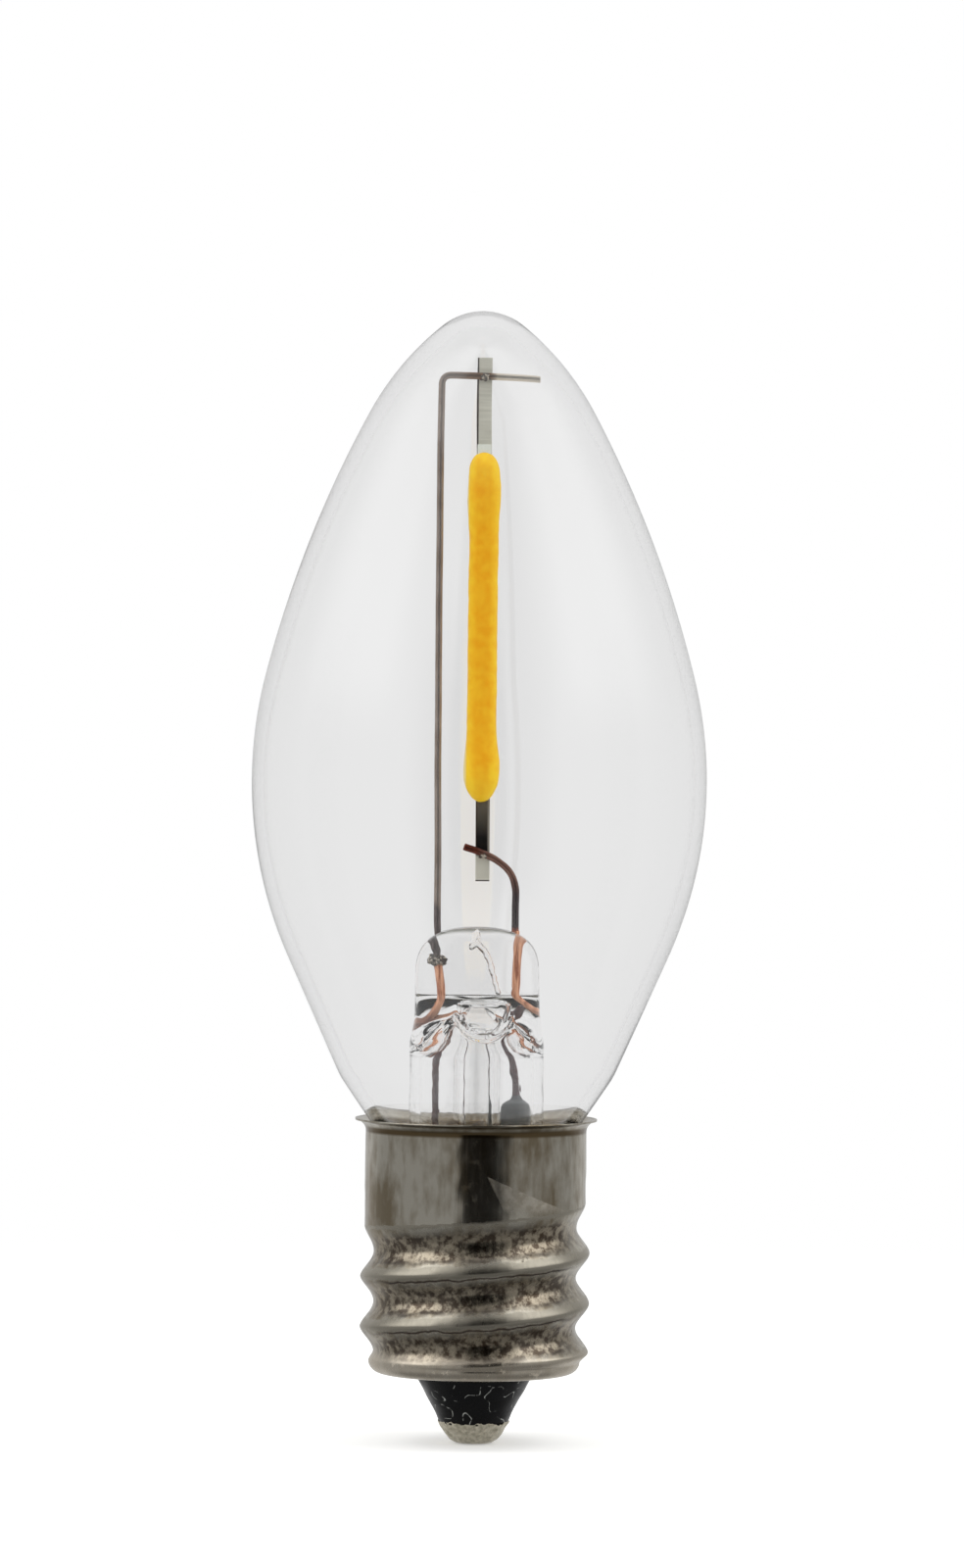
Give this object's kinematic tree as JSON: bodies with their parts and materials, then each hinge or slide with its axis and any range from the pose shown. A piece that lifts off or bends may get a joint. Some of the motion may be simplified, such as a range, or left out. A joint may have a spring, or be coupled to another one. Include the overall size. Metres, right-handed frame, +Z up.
{
  "type": "christmas light bulb",
  "caption": "Clear candle-shaped christmas light bulb with an upright LED filament on a pressed glass stem, on a small rolled-thread screw base.",
  "frame": {"origin": "the bulb's axis at the lowest point of the contact solder", "axes": "+Z runs up the bulb's axis from the contact solder to the tip of the glass; -Y is the side seen in the picture, across which the wires stand in one plane; +X is to the right in that view"},
  "size_m": [0.023, 0.023, 0.0571],
  "materials": {
    "clear_glass": "gloss",
    "stem_glass": "gloss",
    "nickel_wire": "satin",
    "seal_wire": "satin",
    "outer_lead": "satin",
    "weld_metal": "satin",
    "ceramic": "matte",
    "tab_metal": "satin",
    "led_chip": "gloss",
    "phosphor": "satin",
    "grey_lacquer": "satin",
    "black_moulding": "matte",
    "plated_brass": "satin",
    "cement": "matte",
    "black_glass": "gloss",
    "eyelet_brass": "satin",
    "solder": "satin"
  },
  "bodies": {
    "root": {"glass_envelope": "clear_glass", "stem_glass": "stem_glass", "exhaust_tube": "stem_glass", "support_wire": "nickel_wire", "short_lead": "nickel_wire", "left_seal_wire": "seal_wire", "right_seal_wire": "seal_wire", "side_lead": "outer_lead", "resistor_lead": "outer_lead", "link_lead": "outer_lead", "centre_lead": "outer_lead", "weld_beads": "weld_metal", "ceramic_strip": "ceramic", "upper_tab": "tab_metal", "lower_tab": "tab_metal", "led_chips": "led_chip", "phosphor_coat": "phosphor", "dropper_resistor": "grey_lacquer", "rectifier_diode": "black_moulding", "screw_shell": "plated_brass", "cement_ring": "cement", "insulator": "black_glass", "contact_eyelet": "eyelet_brass", "contact_solder": "solder"}
  },
  "joints": []
}
